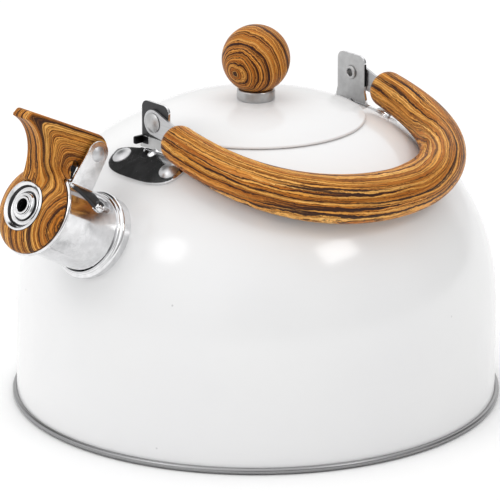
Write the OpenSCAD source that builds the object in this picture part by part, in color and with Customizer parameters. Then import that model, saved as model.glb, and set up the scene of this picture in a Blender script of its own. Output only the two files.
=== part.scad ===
// Stovetop whistling kettle.
// Millimetres, +Z up. The origin is the middle of the base, on the plane the kettle stands on.
// The spout points to -X. The handle is stored folded down towards -Y.
// Spout pieces are drawn in the spout's own frame: local Z runs out along the spout from the
// middle of its mouth (called u below), local X points up and away from the spout (called v).

/* [Body] */
// Outer radius of the upright body wall
body_r = 108; // [104:0.5:112]
// Height at which the upright wall turns into the dome
wall_h = 41.7; // [38:0.1:44]
// Height of the dome above that, if it had no lid opening
dome_h = 93.1; // [91:0.1:94]
// Fullness of the dome (2 is an ellipse, more is squarer)
dome_power = 2.24; // [2.2:0.01:2.3]
// Thickness of the body's sheet steel
sheet = 0.6; // [0.5:0.1:1]
// Radius of the opening under the lid
mouth_r = 45.2; // [44:0.1:46]

/* [Base] */
// Radius of the rolled bead around the foot
bead_r = 1.4; // [1.2:0.1:1.6]
// Radius of the flat capsule that sits on the hob
capsule_r = 97; // [90:1:98]
// Thickness of the aluminium disc in the capsule
disc_t = 3; // [2.5:0.5:4]

/* [Lid] */
// Outer radius of the lid
lid_r = 48.8; // [48:0.1:50]
// Height of the lid's crown above the standing plane
lid_top = 136.6; // [136:0.1:138]
// Radius of the ball knob
knob_r = 15.2; // [13:0.1:17]
// Radius of the steel collar under the knob
collar_r = 8.5; // [7.5:0.1:9.5]

/* [Spout] */
// Tilt of the spout above level, in degrees
spout_tilt = 29.2; // [28:0.1:30]
// Distance of the middle of the mouth from the kettle's axis
spout_reach = 127.1; // [125:0.1:129]
// Height of the middle of the mouth
spout_z = 111.9; // [111:0.1:113]
// Outer radius of the spout tube
tube_r = 17.4; // [16.8:0.1:17.8]
// Outer radius of the rolled lip
lip_r = 20.2; // [19.8:0.1:20.6]

/* [Whistle] */
// Radius of the flip cap
cap_r = 19.5; // [19:0.1:20]
// How far the middle of the cap stands out
cap_bulge = 7.3; // [6.5:0.1:8]
// Thickness of the lever's neck
neck_w = 11.2; // [9:0.1:12]
// Radius of the hinge pin
pin_r = 2; // [1.8:0.1:2.2]
// Radius of the steam hole
steam_r = 2.8; // [1.8:0.1:3]

/* [Handle] */
// Height of the handle's pivots
pivot_z = 137.4; // [137:0.1:139]
// How far below level the folded handle droops, in degrees
droop = 14.3; // [13:0.1:14.3]
// Distance from the pivots to the middle of the grip's cross bar
grip_reach = 93.6; // [91:0.1:94]
// Radius of the grip at the middle of the cross bar
grip_r_mid = 10.6; // [9.5:0.1:10.6]
// Radius of the grip at its two ends
grip_r_end = 8.3; // [7.8:0.1:8.4]

/* [Hidden] */

STEEL = "silver";
ENAMEL = "white";
WOOD = "peru";
ALUMINIUM = "gainsboro";

$fn = 72;
gap = 0.3;              // room between pieces that move past each other
seat = 0.04;            // room under a piece that lies on the curved dome or lid
run = 0.05;             // radial clearance of a pin in its hole
past = 1;               // how far a cutter runs past what it cuts
deep = 400;             // longer than the whole kettle

// Dome
dome_steps = 28;
hem_h = 5;              // depth of the turned-down collar around the opening
body_foot_z = 1;        // where the wall ends, inside the foot bead

// Base
bead_x = body_r + 0.6;
bead_z = 0.3 + bead_r;
pan_t = 0.6;
cap_t = 0.5;
floor_z = cap_t + disc_t;
channel_t = 0.7;

// Lid
lid_t = 0.7;
lid_edge_z = dome_z(lid_r - lid_t) + gap;
lid_drop = lid_top - lid_edge_z - 1.1;
ring_r = mouth_r - 0.5;
ring_t = 0.6;
ring_h = 9;
collar_h = 4.8;
knob_z = lid_top + 18.3;
screw_r = 2;

// Spout
tube_t = 0.7;
tube_in = -42.6;        // u where the tube ends inside the body
collar_u = -35.8;
lip_bead_r = 0.9;

// Hinge of the whistle lever, in the spout's frame
pin_u = -14.7;
pin_v = 32.3;
ear_in = 7;
ear_t = 1.2;
ear_r = 5.7;
saddle_t = 1;
saddle_u0 = -20;
saddle_u1 = -5;
neck_end_r = 8.2;
cap_back = 0.8;         // u of the cap's back face
rim_u = 1.6;            // u where the cap's rim turns into its slope
bezel_r = 11.15;

// Handle hardware
plate_in = 57.9;        // from the middle of the kettle to the lid side of a bracket plate
plate_t = 1.2;
plate_half = 9.6;
plate_top = pivot_z + 8.7;
arm_in = plate_in + plate_t + 0.2;
arm_t = 1.2;
arm_half = 5.8;
tongue_end = 46;
head_in = arm_in + arm_t + 0.2;
shank_r = 2.55;
flange_t = 1.2;
flange_x = 62;
flange_half = 21.8;
foot_x = 64.5;          // where the bracket rivets stand
foot_y = 15.5;
stop_z = pivot_z - 11.1;
stop_h = 3.4;

// Grip: a U-shaped sweep, in the plane of the folded handle
grip_start = 20.4;
grip_half_w = 62.3;
grip_steps = 44;
grip_sides = 24;
grip_cap_steps = 4;

// Shared shapes
function arc(cx, cy, r, from, to, n = 12) =
    [for (i = [0:n]) let (a = from + (to - from) * i / n) [cx + r * cos(a), cy + r * sin(a)]];
function dome_z(r, shrink = 0) =
    wall_h + (dome_h - shrink) * pow(1 - pow(r / (body_r - shrink), dome_power), 1 / dome_power);
// Slope of the dome's outward normal away from upright, at radius r
function dome_lean(r) =
    let (a = pow(r / body_r, dome_power - 1) / body_r,
         b = pow((dome_z(r) - wall_h) / dome_h, dome_power - 1) / dome_h)
    atan(a / b);
// Half outline of the dome, from the wall up to the opening of radius r_end
function dome_arc(r_end, shrink = 0) =
    let (r = body_r - shrink, last = acos(pow(r_end / r, dome_power / 2)))
    [for (i = [0:dome_steps]) let (a = last * i / dome_steps, x = r * pow(cos(a), 2 / dome_power))
        [x, dome_z(min(x, r), shrink)]];

module dome_solid(grow) {
    rotate_extrude()
        polygon(concat([[0, 0], [body_r + grow, 0]], dome_arc(20, -grow), [[0, dome_z(20, -grow)]]));
}

module on_spout() {
    translate([-spout_reach, 0, spout_z]) rotate([0, spout_tilt - 90, 0]) children();
}

// Extrudes an outline given as [u, v] points across the spout, centred on y
module across_spout(width, y = 0) {
    translate([0, y + width / 2, 0]) rotate([90, 0, 0]) linear_extrude(width) rotate(90) mirror([0, 1])
        children();
}

module rivet_head(r, h) {
    bulge = (r * r + h * h) / (2 * h);
    intersection() {
        translate([0, 0, h - bulge]) sphere(bulge);
        cylinder(r = r, h = h);
    }
}

// Base
module body_shell() {
    color(ENAMEL) difference() {
        rotate_extrude() polygon(concat(
            [[body_r - sheet, body_foot_z], [body_r, body_foot_z]],
            dome_arc(mouth_r),
            [[mouth_r, dome_z(mouth_r) - hem_h], [mouth_r + sheet, dome_z(mouth_r) - hem_h]],
            reverse(dome_arc(mouth_r + sheet, sheet))));
        on_spout() translate([0, 0, -60]) cylinder(r = tube_r, h = 60);
        bracket_rivet_holes();
    }
}

function reverse(list) = [for (i = [len(list) - 1:-1:0]) list[i]];

module base_pan() {
    slope = 1.1;
    color(STEEL) rotate_extrude() difference() {
        union() {
            translate([bead_x, bead_z]) circle(bead_r);
            translate([body_r - sheet - channel_t, bead_z - bead_r])
                square([bead_x - body_r + sheet + channel_t, 2.4]);
            polygon([[0, floor_z], [capsule_r + slope, floor_z],
                [body_r - sheet, bead_z - bead_r], [body_r - sheet, bead_z - bead_r + pan_t],
                [capsule_r + slope, floor_z + pan_t], [0, floor_z + pan_t]]);
        }
        translate([body_r - sheet, body_foot_z]) square([sheet, 6]);
    }
}

module heat_spreader() {
    color(ALUMINIUM) translate([0, 0, cap_t]) cylinder(r = capsule_r - cap_t, h = disc_t);
}

module base_cap() {
    round_r = 0.9;
    color(STEEL) difference() {
        rotate_extrude() polygon(concat([[0, 0]],
            arc(capsule_r - round_r, round_r, round_r, -90, 0, 6),
            [[capsule_r, floor_z], [0, floor_z]]));
        translate([0, 0, cap_t]) cylinder(r = capsule_r - cap_t, h = disc_t + past);
    }
}

// Spout
module spout_tube() {
    color(STEEL) on_spout() rotate_extrude() {
        translate([tube_r - tube_t, tube_in]) square([tube_t, -tube_in - 2.6]);
        polygon([[tube_r - tube_t, -2.6], [tube_r, -2.6], [lip_r - lip_bead_r, -1.1],
            [lip_r - lip_bead_r, -0.2]]);
        translate([lip_r - lip_bead_r, -0.5]) circle(lip_bead_r);
    }
}

module spout_collar() {
    color(STEEL) difference() {
        on_spout() rotate_extrude() {
            translate([tube_r, tube_in]) square([2.1, collar_u - tube_in]);
            translate([tube_r, collar_u - 1.2]) square([1, 3.4]);
            translate([lip_r - 1.4, collar_u]) circle(1.3);
            translate([tube_r + 0.8, collar_u + 2]) circle(0.8);
        }
        dome_solid(seat);
        on_spout() translate([0, 0, -60]) cylinder(r = tube_r, h = 60);
    }
}

module ear_outline() {
    polygon(concat([[saddle_u1 - 0.8, 15.2], [saddle_u0 + 0.6, 15.2]],
        reverse(arc(pin_u, pin_v, ear_r, -8, 188, 18))));
}

module spout_bracket() {
    foot_angle = 45;
    dimple_angle = 50;
    color(STEEL) on_spout() difference() {
        union() {
            intersection() {
                translate([0, 0, saddle_u0])
                    cylinder(r = tube_r + saddle_t, h = saddle_u1 - saddle_u0);
                translate([0, -ear_in - ear_t, saddle_u0])
                    cube([deep, 2 * (ear_in + ear_t), saddle_u1 - saddle_u0]);
            }
            for (side = [-1, 1]) {
                across_spout(ear_t, side * (ear_in + ear_t / 2)) ear_outline();
                intersection() {
                    translate([0, 0, -26]) cylinder(r = tube_r + saddle_t * 0.8, h = 24);
                    rotate(side * foot_angle) rotate([0, 90, 0]) linear_extrude(deep) hull() {
                        translate([17.8, side * -6]) circle(2, $fn = 32);
                        translate([7.4, side * -6.4]) circle(1.2, $fn = 32);
                        translate([21.3, side * 1.5]) circle(2.5, $fn = 32);
                    }
                }
                rotate(side * dimple_angle) translate([tube_r + saddle_t * 0.4, 0, -21.3])
                    rotate([0, 90, 0]) rivet_head(1.9, 1.1);
            }
        }
        translate([0, 0, -60]) cylinder(r = tube_r, h = 60);
        translate([pin_v, 0, pin_u]) rotate([90, 0, 0]) cylinder(r = pin_r, h = 60, center = true);
    }
}

// Whistle
module whistle_pin() {
    head_y = ear_in + ear_t;
    color(STEEL) on_spout() translate([pin_v, 0, pin_u]) rotate([90, 0, 0]) {
        cylinder(r = pin_r, h = 2 * head_y, center = true);
        translate([0, 0, head_y]) rivet_head(3.4, 1.3);
        mirror([0, 0, 1]) translate([0, 0, head_y]) rivet_head(3.4, 1.3);
    }
}

function neck_outline() = concat(
    [[cap_back, 14], [cap_back, 20.8], [-2.6, 20.8], [-3, 19.2], [-6.1, 19.2], [-6.1, 26.2]],
    [[pin_u + 6, 25.9]],
    reverse(arc(pin_u, pin_v, neck_end_r, 90, 300, 20)),
    reverse(arc(25.6, 36.7, 1.2, 20, 90, 4)),
    reverse(arc(26.9, 34.8, 1.2, -90, 20, 6)),
    arc_through_neck(),
    [[8.4, 9.8], [cap_back + 3, 10]]);

// Hollow front of the neck: a quarter ellipse from the tip down to the cap
function arc_through_neck() =
    [for (i = [1:10]) let (a = 90 * i / 10) [10.2 + 18.4 * (1 - sin(a)), 11.5 + 22.3 * cos(a)]];

// Front of the cap, from its rim to the flat round the bezel: fuller than a cone, leaner than an arc
function cap_slope() =
    [for (i = [0:12]) let (a = 7.5 * i, n = 1.45) [
        11.2 + (cap_r - 11.2) * pow(cos(a), 2 / n),
        rim_u + (cap_bulge - rim_u) * pow(sin(a), 2 / n)]];

module whistle_lever() {
    color(WOOD) on_spout() difference() {
        union() {
            rotate_extrude() polygon(concat([[0, cap_back], [cap_r, cap_back]], cap_slope(),
                [[0, cap_bulge]]));
            across_spout(neck_w) polygon(neck_outline());
        }
        cylinder(r = 9.7, h = deep);
        translate([0, 0, cap_bulge]) cylinder(r = bezel_r + seat, h = deep);
        translate([pin_v, 0, pin_u]) rotate([90, 0, 0])
            cylinder(r = pin_r + run, h = 60, center = true);
    }
}

module whistle_front() {
    face = cap_bulge;
    color(STEEL) on_spout() rotate_extrude() {
        translate([9.1, cap_back]) square([0.6, face - cap_back]);
        polygon([[9.1, face - 0.4], [9.7, face - 0.4], [9.7, face + seat],
            [bezel_r, face + seat], [bezel_r, face + 0.4],
            [10.6, face + 0.9], [10, face + 0.9], [9.1, face + 0.2]]);
        polygon([[6.2, face - 1.6], [9.1, face - 1.6], [9.1, face - 1], [6.2, face - 1]]);
        polygon([[5.6, face - 1.6], [6.2, face - 1.6], [6.2, face + 0.1], [5.6, face + 0.7],
            [3.2, face + 0.7], [3.2, face + 0.1], [5.6, face + 0.1]]);
        translate([steam_r, face - 0.4]) square([1.3, 1.4]);
    }
}

module whistle_back() {
    cup_r = 13;
    cup_u = -3;
    color(STEEL) on_spout() rotate_extrude() {
        translate([cup_r - 0.6, 0.2]) square([17.5 - cup_r + 0.6, cap_back - 0.2]);
        translate([cup_r - 0.6, cup_u]) square([0.6, 3.3]);
        translate([steam_r, cup_u]) square([cup_r - 0.3 - steam_r, 0.6]);
    }
}

// Handle brackets. Both are drawn at -X; the rear one is the front one mirrored.
module flange_outline() {
    n = 2.5;
    polygon([for (i = [0:47]) let (a = 7.5 * i, c = cos(a), s = sin(a), b = c < 0 ? 11.7 : 2.9)
        [-flange_x + b * sign(c) * pow(abs(c), 2 / n), flange_half * sign(s) * pow(abs(s), 2 / n)]]);
}

module plate_outline() {
    round_r = 3.5;
    top_half = plate_half - 0.8;
    polygon(concat([[-plate_half, 100], [plate_half, 100], [plate_half, stop_z]],
        arc(top_half - round_r, plate_top - round_r, round_r, 0, 90, 8),
        arc(-top_half + round_r, plate_top - round_r, round_r, 90, 180, 8),
        [[-plate_half, stop_z]]));
}

// Points the extrusion of a [y, z] outline along +X, starting at x
module facing_x(x, t) {
    translate([x, 0, 0]) rotate([90, 0, 90]) linear_extrude(t) children();
}

module bracket() {
    difference() {
        union() {
            intersection() {
                dome_solid(flange_t);
                translate([0, 0, 90]) linear_extrude(60) flange_outline();
            }
            facing_x(-plate_in - plate_t, plate_t) plate_outline();
            hull() {
                translate([-plate_in - plate_t, 0, dome_z(plate_in) + 3.4]) sphere(0.8, $fn = 16);
                translate([-plate_in - 3.8, 0, dome_z(plate_in + 3.8) + 1]) sphere(1.3, $fn = 16);
            }
        }
        dome_solid(seat);
        facing_x(-plate_in - plate_t - past, plate_t + 2 * past)
            translate([0, pivot_z]) circle(shank_r);
        bracket_rivet_holes();
    }
}

module front_bracket() {
    slot_w = 4.2;
    color(STEEL) {
        difference() {
            bracket();
            translate([-plate_in - plate_t - past, plate_half - plate_t - slot_w, stop_z])
                cube([plate_t + 2 * past, slot_w, stop_h]);
        }
        translate([-plate_in - plate_t - 4.4, plate_half - plate_t, stop_z])
            cube([4.4 + plate_t / 2, plate_t, stop_h]);
    }
}

module rear_bracket() {
    color(STEEL) mirror([1, 0, 0]) bracket();
}

// Places children on the dome where the two rivets of the -X bracket stand
module at_bracket_rivets() {
    r = norm([foot_x, foot_y]);
    for (side = [-1, 1])
        rotate(180 - side * atan(foot_y / foot_x)) translate([r, 0, dome_z(r)])
            rotate([0, dome_lean(r), 0]) children();
}

module bracket_rivet_holes() {
    at_bracket_rivets() cylinder(r = 2, h = 12, center = true);
    mirror([1, 0, 0]) at_bracket_rivets() cylinder(r = 2, h = 12, center = true);
}

module bracket_rivets() {
    color(STEEL) at_bracket_rivets() {
        translate([0, 0, flange_t]) rivet_head(4.5, 1.8);
        translate([0, 0, -sheet - 1]) cylinder(r = 2, h = sheet + 1 + flange_t);
        translate([0, 0, -sheet - 1]) cylinder(r = 3.2, h = 0.9);
    }
}

module front_bracket_rivets() {
    bracket_rivets();
}

module rear_bracket_rivets() {
    mirror([1, 0, 0]) bracket_rivets();
}

module pivot_rivet() {
    tail = 1;
    color(STEEL) translate([-head_in, 0, pivot_z]) rotate([0, -90, 0]) difference() {
        union() {
            rivet_head(4.5, 1.6);
            translate([0, 0, plate_in - tail - head_in])
                cylinder(r = shank_r, h = head_in - plate_in + tail);
            translate([0, 0, plate_in - tail - head_in]) cylinder(r = 3.2, h = tail);
        }
        translate([0, 0, plate_in - tail - head_in - past]) cylinder(r = 1.7, h = 3 + past);
    }
}

module front_pivot_rivet() {
    pivot_rivet();
}

module rear_pivot_rivet() {
    mirror([1, 0, 0]) pivot_rivet();
}

// Handle
module folded() {
    translate([0, 0, pivot_z]) rotate([droop, 0, 0]) mirror([0, 1, 0]) children();
}

module arm_outline() {
    polygon(concat(arc(0, 0, arm_half, 90, 270, 16),
        [[grip_start, -arm_half], [grip_start + 4, -4.6], [tongue_end, -4.6],
            [tongue_end, 4.6], [grip_start + 4, 4.6], [grip_start, arm_half]]));
}

// In the folded handle's plane, Y runs from the pivots to the cross bar
module arm_plate(extra = 0) {
    translate([-arm_in - arm_t, 0, 0]) rotate([90, 0, 90]) linear_extrude(arm_t + extra) arm_outline();
}

module arm() {
    color(STEEL) folded() difference() {
        arm_plate();
        translate([-arm_in - arm_t - past, 0, 0]) rotate([0, 90, 0])
            cylinder(r = shank_r + run, h = arm_t + 2 * past);
    }
}

module front_arm() {
    arm();
}

module rear_arm() {
    mirror([1, 0, 0]) arm();
}

// Half of the grip's centre line: a cubic curve from one end to the middle of the cross bar
function bezier(p, t) =
    pow(1 - t, 3) * p[0] + 3 * t * pow(1 - t, 2) * p[1] + 3 * t * t * (1 - t) * p[2] + pow(t, 3) * p[3];
function bezier_slope(p, t) =
    pow(1 - t, 2) * (p[1] - p[0]) + 2 * t * (1 - t) * (p[2] - p[1]) + t * t * (p[3] - p[2]);
grip_curve = [[grip_half_w, grip_start], [grip_half_w + 1.5, grip_start + 58],
    [25.3, grip_reach], [0, grip_reach]];
function grip_radius(t) =
    grip_r_end + (grip_r_mid - grip_r_end) * (1 - pow(1 - t, 2)) + 1.4 * t * (1 - t);

function grip_ring(x, y, dx, dy, r) =
    let (d = norm([dx, dy]))
    [for (k = [0:grip_sides - 1]) let (a = 360 * k / grip_sides)
        [x - dy / d * r * cos(a), y + dx / d * r * cos(a), r * sin(a)]];

// Rounded end: rings that shrink over the last few millimetres
end_len = 6.4;
function end_rings(s) = [for (i = [0:grip_cap_steps - 1]) let (a = 90 * i / grip_cap_steps + 10)
    grip_ring(s * grip_half_w, grip_start - end_len * cos(a), 0, s, grip_r_end * sqrt(sin(a)))];

function grip_rings() = concat(
    end_rings(-1),
    [for (i = [0:grip_steps]) let (m = i / grip_steps * 2 - 1, t = 1 - abs(m), s = m < 0 ? -1 : 1,
        p = bezier(grip_curve, t), q = bezier_slope(grip_curve, t))
        grip_ring(s * p[0], p[1], -q[0], -s * q[1], grip_radius(t))],
    reverse(end_rings(1)));

module grip() {
    rings = grip_rings();
    n = grip_sides;
    last = len(rings) - 1;
    color(WOOD) folded() difference() {
        polyhedron(
            points = [for (ring = rings) each ring],
            faces = concat([[for (k = [0:n - 1]) k]],
                [for (i = [0:last - 1], k = [0:n - 1])
                    [i * n + k, (i + 1) * n + k, (i + 1) * n + (k + 1) % n, i * n + (k + 1) % n]],
                [[for (k = [n - 1:-1:0]) last * n + k]]));
        arm_plate();
        mirror([1, 0, 0]) arm_plate();
    }
}

// Lid
function lid_z(r) = lid_top - lid_drop * pow(r / (lid_r - 0.9), 3);

module lid_shell() {
    steps = 16;
    rim = lid_r - 0.9;
    color(ENAMEL) difference() {
        rotate_extrude() polygon(concat(
            [for (i = [0:steps]) [rim * i / steps, lid_z(rim * i / steps)]],
            arc(rim - 0.2, lid_z(rim) - 1.1, 1.1, 80, 0, 5),
            [[lid_r, lid_edge_z], [lid_r - lid_t, lid_edge_z]],
            [for (i = [steps - 1:-1:0]) [rim * i / steps, lid_z(rim * i / steps) - lid_t]]));
        cylinder(r = screw_r, h = deep);
    }
}

module lid_ring() {
    under = lid_z(ring_r) - lid_t;
    color(STEEL) difference() {
        translate([0, 0, under - ring_h]) cylinder(r = ring_r, h = ring_h + 3);
        translate([0, 0, under - ring_h - past]) cylinder(r = ring_r - ring_t, h = deep);
        rotate_extrude() polygon(concat([[0, deep], [0, lid_z(0) - lid_t]],
            [for (i = [1:16]) let (r = (lid_r - 0.9) * i / 16) [r, lid_z(r) - lid_t]],
            [[lid_r, deep]]));
    }
}

module knob_collar() {
    color(STEEL) difference() {
        rotate_extrude() polygon([[0, lid_top + seat], [collar_r, lid_top + seat],
            [collar_r, lid_top + collar_h - 0.4], [collar_r - 0.4, lid_top + collar_h],
            [0, lid_top + collar_h]]);
        cylinder(r = screw_r, h = deep);
    }
}

module knob() {
    color(WOOD) difference() {
        translate([0, 0, knob_z]) sphere(knob_r);
        cylinder(r = knob_r, h = lid_top + collar_h);
        cylinder(r = screw_r, h = knob_z + 2);
    }
}

module knob_screw() {
    head_z = lid_top - lid_t;
    color(STEEL) difference() {
        union() {
            cylinder(r = screw_r, h = knob_z + 2);
            translate([0, 0, head_z]) mirror([0, 0, 1]) rivet_head(4.4, 2.2);
        }
        translate([0, 0, -deep]) cylinder(r = knob_r, h = deep + head_z - 2.2);
        translate([-3, -0.5, head_z - 2.4]) cube([6, 1, 1.1]);
    }
}

body_shell();
base_pan();
heat_spreader();
base_cap();
spout_tube();
spout_collar();
spout_bracket();
whistle_pin();
whistle_lever();
whistle_front();
whistle_back();
front_bracket();
rear_bracket();
front_bracket_rivets();
rear_bracket_rivets();
front_pivot_rivet();
rear_pivot_rivet();
front_arm();
rear_arm();
grip();
lid_shell();
lid_ring();
knob_collar();
knob();
knob_screw();
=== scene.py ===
from math import acos, asin, atan2, copysign, cos, degrees, exp, hypot, log, pi, radians, sin, tan

import bmesh
import bpy
from mathutils import Matrix, Vector
from mathutils.geometry import delaunay_2d_cdt


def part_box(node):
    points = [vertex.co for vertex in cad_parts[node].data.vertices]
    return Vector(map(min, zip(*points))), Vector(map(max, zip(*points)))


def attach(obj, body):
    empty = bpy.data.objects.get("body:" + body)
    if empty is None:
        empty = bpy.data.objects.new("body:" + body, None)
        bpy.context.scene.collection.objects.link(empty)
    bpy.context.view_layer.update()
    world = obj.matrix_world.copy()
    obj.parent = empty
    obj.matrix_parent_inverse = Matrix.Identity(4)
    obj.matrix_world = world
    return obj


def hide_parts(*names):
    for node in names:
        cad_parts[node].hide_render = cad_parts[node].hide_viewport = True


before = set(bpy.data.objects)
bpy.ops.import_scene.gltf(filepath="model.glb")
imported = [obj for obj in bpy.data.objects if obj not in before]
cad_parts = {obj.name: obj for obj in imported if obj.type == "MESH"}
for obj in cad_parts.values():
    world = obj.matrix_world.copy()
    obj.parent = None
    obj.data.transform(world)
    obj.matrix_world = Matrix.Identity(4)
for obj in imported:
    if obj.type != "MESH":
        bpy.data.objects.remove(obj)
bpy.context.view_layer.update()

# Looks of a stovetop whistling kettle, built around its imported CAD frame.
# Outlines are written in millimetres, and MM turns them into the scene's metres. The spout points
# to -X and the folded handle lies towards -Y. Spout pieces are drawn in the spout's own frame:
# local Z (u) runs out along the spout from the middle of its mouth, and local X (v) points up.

MM = 0.001

# ------------------------ sizes, from the frame or the CAD
BODY_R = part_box("body_shell")[1][0] / MM
WALL_H = 41.7
DOME_H = 93.1
DOME_POWER = 2.24
SHEET = 0.6
MOUTH_R = 45.2
HEM = 5.0
BEAD_R = 1.4
BEAD_X = BODY_R + 0.6
BEAD_Z = 0.3 + BEAD_R
CAPSULE_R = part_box("base_cap")[1][0] / MM
CAP_T = 0.5
FLOOR_Z = 3.5
LID_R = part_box("lid_shell")[1][0] / MM
LID_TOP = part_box("lid_shell")[1][2] / MM
LID_EDGE_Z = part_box("lid_shell")[0][2] / MM
LID_T = 0.7
LID_DROP = LID_TOP - LID_EDGE_Z - 1.1
RING_R = MOUTH_R - 0.5
RING_H = 9.0
SCREW_HOLE_R = 2.05
COLLAR_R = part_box("knob_collar")[1][0] / MM
COLLAR_H = 4.8
KNOB_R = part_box("knob")[1][0] / MM
KNOB_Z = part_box("knob")[1][2] / MM - KNOB_R
SPOUT_TILT = radians(29.2)
SPOUT_REACH = 127.1
SPOUT_Z = 111.9
TUBE_R = 17.4
TUBE_T = 0.7
TUBE_IN = -42.6
COLLAR_U = -35.8
LIP_R = 20.2
LIP_BEAD = 0.9
CAP_R = 19.5
CAP_BACK = 0.8
CAP_BULGE = 7.3
RIM_U = 1.6
BEZEL_R = 11.15
NECK_W = 11.2
PIN_U, PIN_V, PIN_R = -14.7, 32.3, 2.0
EAR_IN, EAR_T, EAR_R = 7.0, 1.2, 5.7
STEAM_R = 2.8
CAVITY_R = 9.1
SCOOP_U, SCOOP_V = 28.6, 11.5
SCOOP_LONG, SCOOP_HIGH = 18.4, 22.3
HOOD_R = 20.5
PIVOT_Z = 137.4
DROOP = radians(14.3)
PLATE_IN, PLATE_T, PLATE_HALF = 57.9, 1.2, 9.6
PLATE_TOP = PIVOT_Z + 8.7
ARM_IN, ARM_T, ARM_HALF = 59.3, 1.2, 5.8
HEAD_IN = ARM_IN + ARM_T + 0.2
SHANK_R = 2.55
FLANGE_X, FLANGE_HALF = 62.0, 21.8
FLANGE_OUT, FLANGE_BACK, FLANGE_POWER = 11.7, 2.87, 2.5
BEND_X = -59.13
FOOT_X, FOOT_Y = 64.5, 15.5
STOP_Z, STOP_H, SLOT_W = PIVOT_Z - 11.1, 3.4, 4.2
# Half height of the painted black shade on the rear plate's edge beside the arm; the plate outline
# gets corners there
PAINTED_EDGE_SHADE_REACH = 5.0
GRIP_START, GRIP_HALF_W = 20.4, 62.3
GRIP_REACH, GRIP_END_R, GRIP_MID_R = 93.6, 8.3, 10.6
GRIP_END_LEN = 6.4
TONGUE_HALF, TONGUE_END = 4.6, 46.0

# ------------------------ camera, in metres
CAMERA_AT = (-1.2597, -1.3905, 0.6925)
CAMERA_WAY = (0.6358, 0.7038, -0.3169)
CAMERA_LENS = 317.6

SPOUT = Matrix.Translation((-SPOUT_REACH, 0, SPOUT_Z)) @ Matrix.Rotation(
    SPOUT_TILT - pi / 2, 4, "Y")
FOLDED = Matrix.Translation((0, 0, PIVOT_Z)) @ Matrix.Rotation(DROOP, 4, "X") @ Matrix.Scale(
    -1, 4, (0, 1, 0))
MIRROR_X = Matrix.Scale(-1, 4, (1, 0, 0))


# ------------------------ outline helpers
def arc(cx, cy, r, start, stop, n=12):
    """Points on an arc, with its angles in degrees."""
    angles = [radians(start + (stop - start) * i / n) for i in range(n + 1)]
    return [(cx + r * cos(a), cy + r * sin(a)) for a in angles]


def circle(cx, cy, r, n=24):
    return arc(cx, cy, r, 0, 360 - 360 / n, n - 1)


def hull_of(circles, steps=32):
    """Convex outline around circles given as ((x, y), r)."""
    points = sorted({(round(x, 5), round(y, 5)) for (cx, cy), r in circles
                     for x, y in arc(cx, cy, r, 0, 360, steps)})

    def half_of(run):
        out = []
        for p in run:
            while len(out) > 1 and ((out[-1][0] - out[-2][0]) * (p[1] - out[-2][1])
                                    - (out[-1][1] - out[-2][1]) * (p[0] - out[-2][0])) <= 0:
                out.pop()
            out.append(p)
        return out[:-1]

    return half_of(points) + half_of(points[::-1])


def smoothstep(low, high, value):
    """0 at low, 1 at high, eased in between and held beyond."""
    t = min(max((value - low) / (high - low), 0), 1)
    return t * t * (3 - 2 * t)


def rounded(points, closed=True, steps=5):
    """Turns corners given as (x, y, radius) into arcs. A corner given as (x, y) stays sharp."""
    out = []
    for i, point in enumerate(points):
        here = Vector(point[:2])
        if len(point) == 2 or (not closed and i in (0, len(points) - 1)):
            out.append(tuple(here))
            continue
        before = Vector(points[i - 1][:2]) - here
        after = Vector(points[(i + 1) % len(points)][:2]) - here
        half = before.angle(after) / 2
        cut = min(point[2] / tan(half), 0.49 * before.length, 0.49 * after.length)
        radius = cut * tan(half)
        before.normalize()
        after.normalize()
        centre = here + (before + after).normalized() * radius / sin(half)
        first = here + before * cut - centre
        last = here + after * cut - centre
        turn = atan2(first.cross(last), first.dot(last))
        for k in range(steps + 1):
            out.append(tuple(centre + Matrix.Rotation(turn * k / steps, 2) @ first))
    return out


def dome_z(r, shrink=0.0):
    """Height of the dome at radius r. shrink moves the surface in by the sheet's thickness."""
    fall = 1 - (r / (BODY_R - shrink)) ** DOME_POWER
    return WALL_H + (DOME_H - shrink) * max(fall, 0.0) ** (1 / DOME_POWER)


def dome_arc(r_end, shrink=0.0, steps=64):
    """Half outline of the dome from the top of the wall up to radius r_end."""
    r = BODY_R - shrink
    last = acos((r_end / r) ** (DOME_POWER / 2))
    radii = [r * cos(last * i / steps) ** (2 / DOME_POWER) for i in range(steps + 1)]
    return [(x, dome_z(min(x, r), shrink)) for x in radii]


def dome_normal(x, y):
    """Outward unit normal of the dome above the point (x, y)."""
    r = hypot(x, y)
    out = (r / BODY_R) ** (DOME_POWER - 1) / BODY_R
    up = ((dome_z(r) - WALL_H) / DOME_H) ** (DOME_POWER - 1) / DOME_H
    return Vector((out * x / r, out * y / r, up)).normalized()


def lid_z(r):
    """Height of the lid's top at radius r."""
    return LID_TOP - LID_DROP * (r / (LID_R - 0.9)) ** 3


# ------------------------ mesh helpers
def lathe(profile, closed=True, steps=192, wobble=None):
    """Turns a half outline of (r, z) points about Z. wobble(angle, r, z) may shift the radius."""
    verts, rows, faces = [], [], []
    for r, z in profile:
        if r < 1e-6:
            rows.append([len(verts)] * steps)
            verts.append((0, 0, z))
            continue
        rows.append(list(range(len(verts), len(verts) + steps)))
        for k in range(steps):
            a = 2 * pi * k / steps
            rr = r + (wobble(a, r, z) if wobble else 0)
            verts.append((rr * cos(a), rr * sin(a), z))
    for low, high in zip(rows, rows[1:] + rows[:1] if closed else rows[1:]):
        for k in range(steps):
            n = (k + 1) % steps
            corners = list(dict.fromkeys([low[k], low[n], high[n], high[k]]))
            if len(corners) > 2:
                faces.append(corners)
    return verts, faces


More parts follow.
